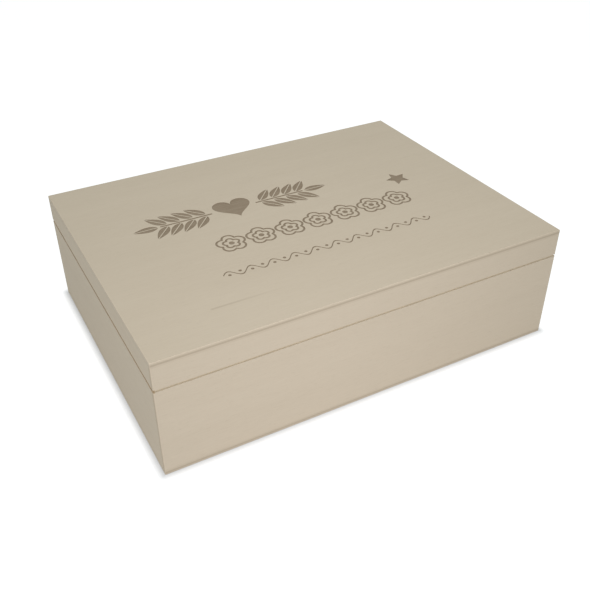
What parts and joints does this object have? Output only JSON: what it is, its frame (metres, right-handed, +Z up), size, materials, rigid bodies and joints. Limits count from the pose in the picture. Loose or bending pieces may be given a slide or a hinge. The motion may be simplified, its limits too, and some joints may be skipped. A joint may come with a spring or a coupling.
{
  "type": "wooden gift box",
  "caption": "Shallow wooden gift box with a hinged flat lid, rebated solid wood frames, thin plywood top and bottom, and brass butt hinges let into the back rims.",
  "frame": {"origin": "centre of the underside of the bottom panel, on the surface that the box stands on", "axes": "+X along the long side to the right as seen from the front, +Y from the front to the hinged back, +Z up"},
  "size_m": [0.32, 0.24, 0.094],
  "materials": {
    "solid_wood": "raw lime wood, sanded fine, no varnish",
    "plywood": "raw lime plywood of three veneers, sanded, with a dark core line on the front and back edges",
    "hinge_brass": "satin rolled brass",
    "screw_brass": "satin turned brass with slotted heads"
  },
  "bodies": {
    "box": {"bottom_panel": "plywood", "front_wall": "solid_wood", "back_wall": "solid_wood", "left_wall": "solid_wood", "right_wall": "solid_wood", "left_hinge_pin": "hinge_brass", "left_hinge_box_leaf": "hinge_brass", "left_hinge_box_screws": "screw_brass", "right_hinge_pin": "hinge_brass", "right_hinge_box_leaf": "hinge_brass", "right_hinge_box_screws": "screw_brass"},
    "lid": {"lid_panel": "plywood", "lid_front_rail": "solid_wood", "lid_back_rail": "solid_wood", "lid_left_rail": "solid_wood", "lid_right_rail": "solid_wood", "left_hinge_lid_leaf": "hinge_brass", "left_hinge_lid_screws": "screw_brass", "right_hinge_lid_leaf": "hinge_brass", "right_hinge_lid_screws": "screw_brass"}
  },
  "joints": [
    {"name": "lid_hinge", "type": "hinge", "parent": "box", "child": "lid", "pos_m": [0, 0.11875, 0.07215], "axis": [-1, 0, 0], "range_deg": [0, 100]}
  ]
}
